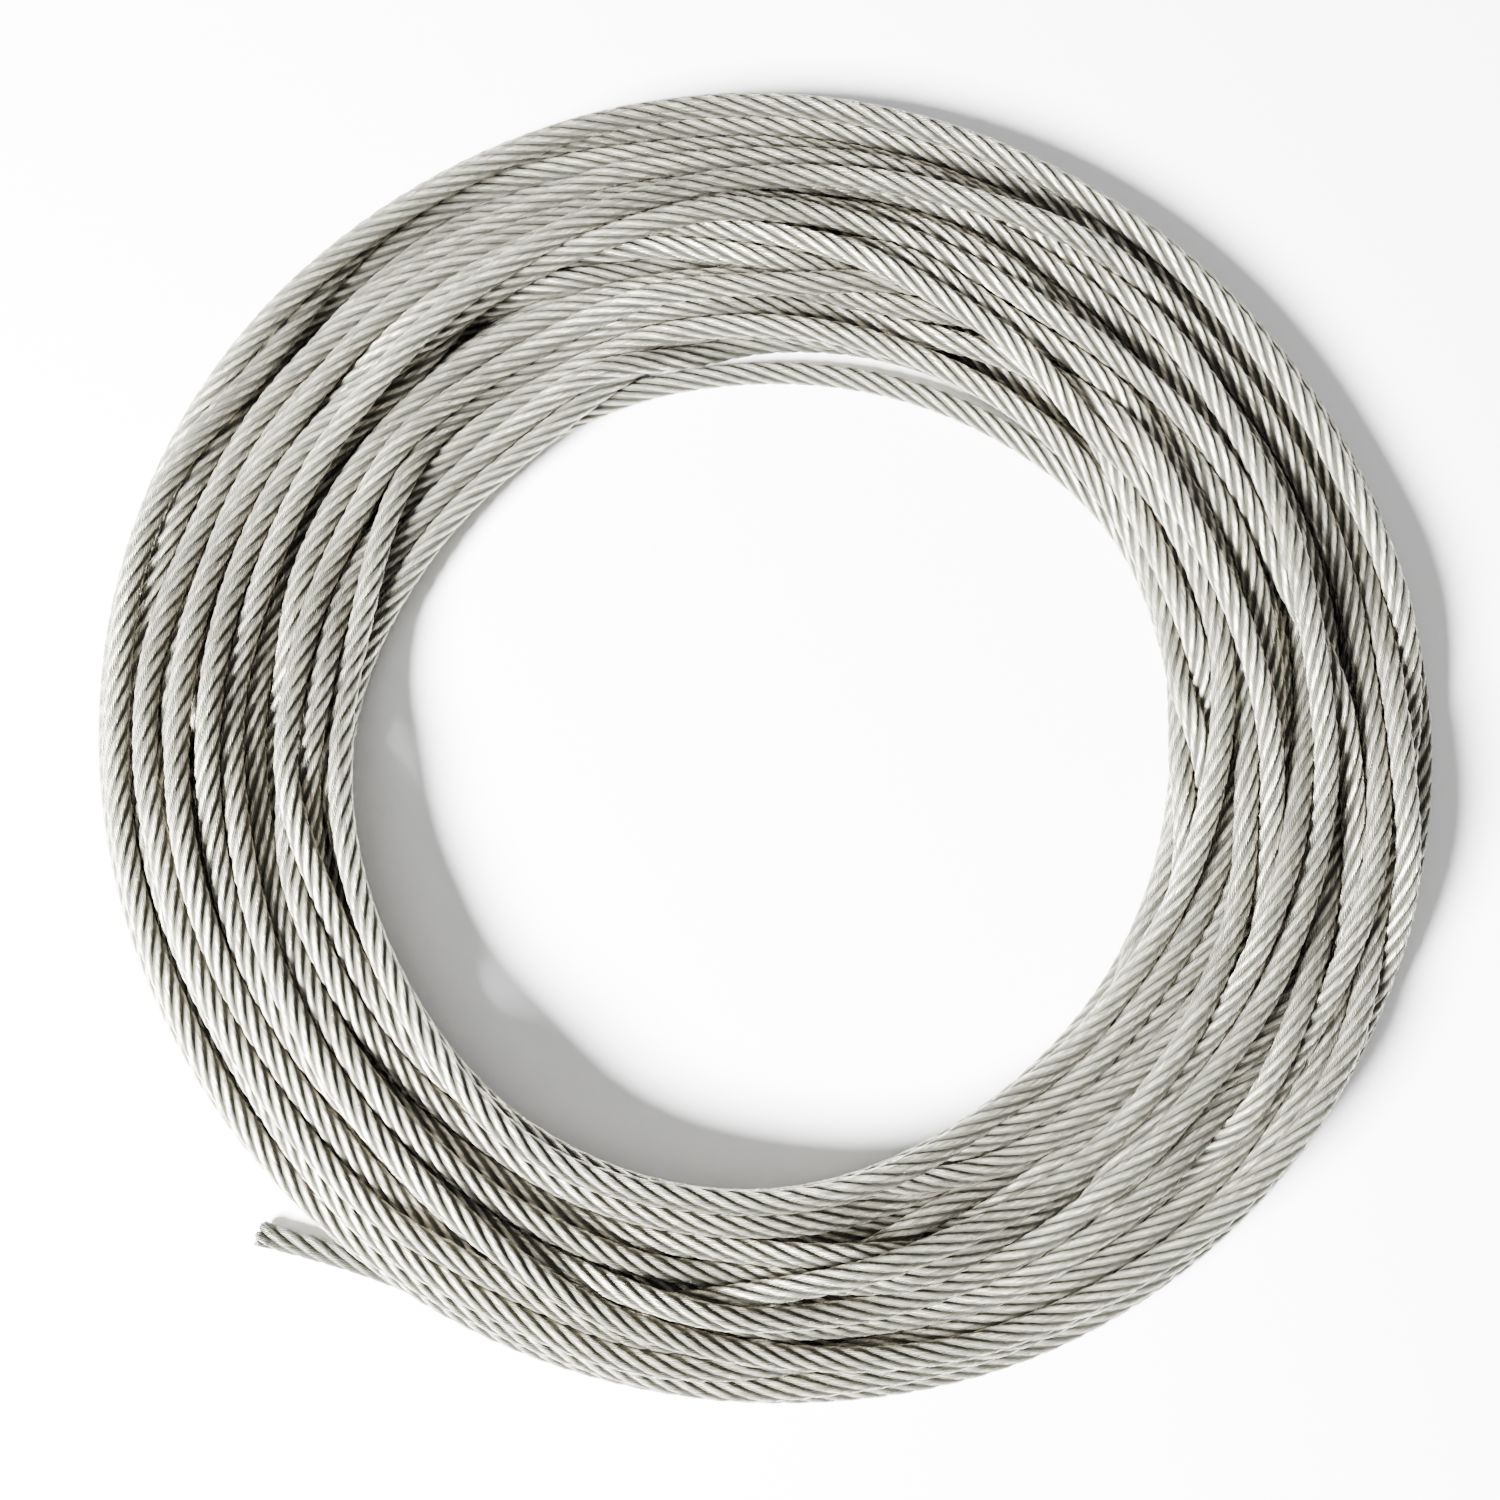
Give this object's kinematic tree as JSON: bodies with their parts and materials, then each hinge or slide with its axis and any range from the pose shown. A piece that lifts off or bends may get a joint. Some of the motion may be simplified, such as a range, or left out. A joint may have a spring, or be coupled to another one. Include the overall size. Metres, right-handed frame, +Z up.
{
  "type": "coil of wire rope",
  "caption": "Hand coil of bare stranded steel wire rope, lying flat, with a slack inner turn and a plain cut end",
  "frame": {"origin": "on the floor, under the middle of the bore of the wound turns", "axes": "+Z up along the coil's axis; +Y away from the viewer of the picture, so that the slack inner turn is on the +Y side and the cut end lies on the -X -Y side"},
  "size_m": [0.2794, 0.2794, 0.0226],
  "materials": {
    "rope_steel": "bright drawn wire, warm grey on the crowns and dark in the grooves between strands"
  },
  "bodies": {
    "root": {"wound_turns": "rope_steel", "slack_inner_turn": "rope_steel", "free_end": "rope_steel"}
  },
  "joints": []
}
